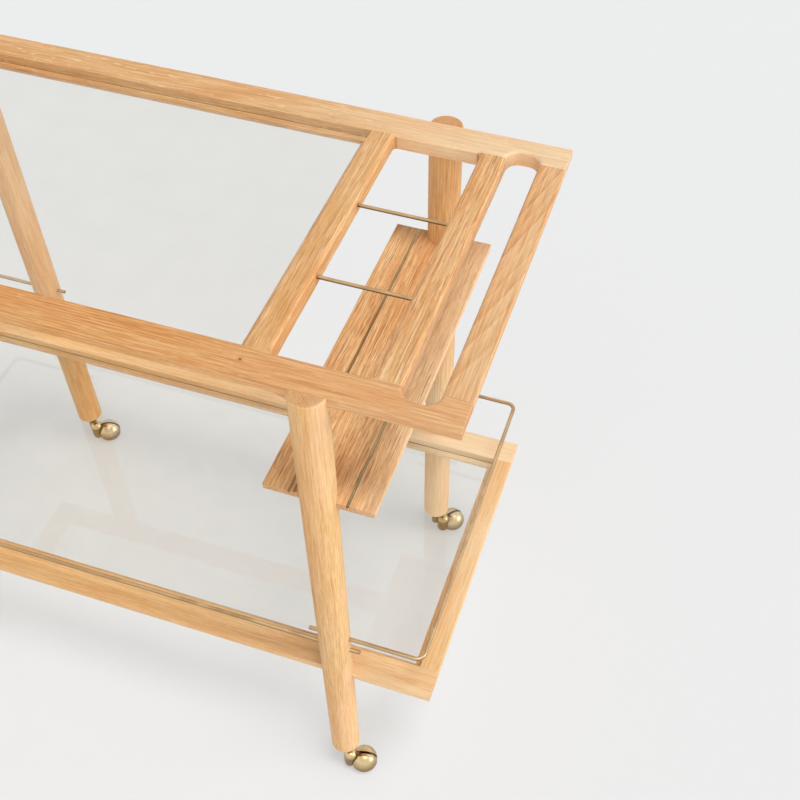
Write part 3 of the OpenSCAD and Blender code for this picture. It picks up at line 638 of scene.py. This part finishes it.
# The surround lights the cart from all sides, most from low down and from the front right,
# because large pale screens stand round it and the ceiling over it is darker
screen_aim = (0.35, -0.90, 0.25)
screen_gain = 0.70
level_ahead = 0.92
level_drop = 0.85
world = bpy.data.worlds.new("pale_studio")
bpy.context.scene.world = world
world.use_nodes = True
tree = world.node_tree
tree.nodes.clear()
direction = add(tree, "ShaderNodeTexCoord").outputs["Generated"]


def facing(aim):
    """How squarely a direction looks towards the given one, from 0 to 1."""
    squarely = add(tree, "ShaderNodeVectorMath", {
        0: direction, 1: Vector(aim).normalized()}, operation="DOT_PRODUCT").outputs["Value"]
    return add(tree, "ShaderNodeMath", {0: squarely, 1: 0.0}, operation="MAXIMUM").outputs[0]


height = add(tree, "ShaderNodeSeparateXYZ", {0: direction}).outputs["Z"]
level = add(tree, "ShaderNodeMath", {0: height, 1: -level_drop, 2: level_ahead},
            operation="MULTIPLY_ADD").outputs[0]
screen = facing(screen_aim)
screen = add(tree, "ShaderNodeMath", {0: screen, 1: screen}, operation="MULTIPLY").outputs[0]
level = add(tree, "ShaderNodeMath", {0: screen, 1: screen_gain, 2: level},
            operation="MULTIPLY_ADD").outputs[0]
lit = add(tree, "ShaderNodeBackground", {"Color": (1.0, 1.0, 1.0, 1), "Strength": level})

# Polished things also mirror the two lamps, as soft glows some 25 degrees across
glow_gain = 4.0
glow_tightness = 34.0
overhead, right = (add(tree, "ShaderNodeMath", {0: facing(aim), 1: glow_tightness},
                       operation="POWER").outputs[0] for aim in lamp_aims)
glow = add(tree, "ShaderNodeMath", {0: overhead, 1: right}, operation="ADD").outputs[0]
path = add(tree, "ShaderNodeLightPath")
glow = add(tree, "ShaderNodeMath", {0: glow, 1: path.outputs["Is Glossy Ray"]},
           operation="MULTIPLY").outputs[0]
glow = add(tree, "ShaderNodeMath", {0: glow, 1: glow_gain, 2: 1.0},
           operation="MULTIPLY_ADD").outputs[0]
shown = add(tree, "ShaderNodeBackground", {"Color": linear("#EEEEEE"), "Strength": glow})
both = add(tree, "ShaderNodeMixShader", {
    0: looked_at(tree), 1: lit.outputs[0], 2: shown.outputs[0]})
add(tree, "ShaderNodeOutputWorld", {"Surface": both.outputs[0]})

# Each lamp's name, strength, width in degrees, colour and place
for name, energy, spread, colour, aim in (
        ("overhead_lamp", 1.3, 17, (1.0, 0.99, 0.975), lamp_aims[0]),
        ("right_lamp", 1.15, 35, (1.0, 1.0, 1.0), lamp_aims[1])):
    lamp = bpy.data.lights.new(name, "SUN")
    lamp.energy = energy
    lamp.angle = math.radians(spread)
    lamp.color = colour
    sun = bpy.data.objects.new(name, lamp)
    sun.rotation_euler = Vector(aim).to_track_quat("Z", "Y").to_euler()
    # Brass and glass don't mirror its hard disc, because the soft glow stands for it there
    sun.visible_glossy = False
    # Nor does the underside of the glass, so a lamp counts only for light that has not yet
    # been mirrored, or that has met something matt since
    lamp.use_nodes = True
    tree = lamp.node_tree
    path = add(tree, "ShaderNodeLightPath")
    bare = add(tree, "ShaderNodeMath", {0: 1.0, 1: path.outputs["Glossy Depth"]},
               operation="SUBTRACT")
    met = add(tree, "ShaderNodeMath", {0: bare.outputs[0], 1: path.outputs["Diffuse Depth"]},
              operation="MAXIMUM", use_clamp=True)
    tree.links.new(met.outputs[0], tree.nodes["Emission"].inputs["Strength"])
    bpy.context.scene.collection.objects.link(sun)

bpy.context.scene.view_settings.view_transform = "Standard"

# Camera: above the right front corner, looking down along the cart, as the picture was taken
stand = (0.5997, -0.7823, 1.5167)
turn, look_down, roll = (math.radians(a) for a in (17.559, 50.315, 0.675))
lens = bpy.data.cameras.new("camera")
lens.sensor_width = 36.0
lens.lens = 50.355
lens.shift_x = -0.0312
lens.shift_y = 0.0227
camera = bpy.data.objects.new("camera", lens)
camera.matrix_world = (Matrix.Translation(stand) @ Matrix.Rotation(turn, 4, "Z")
                       @ Matrix.Rotation(math.pi / 2 - look_down, 4, "X")
                       @ Matrix.Rotation(roll, 4, "Z"))
bpy.context.scene.collection.objects.link(camera)
bpy.context.scene.camera = camera
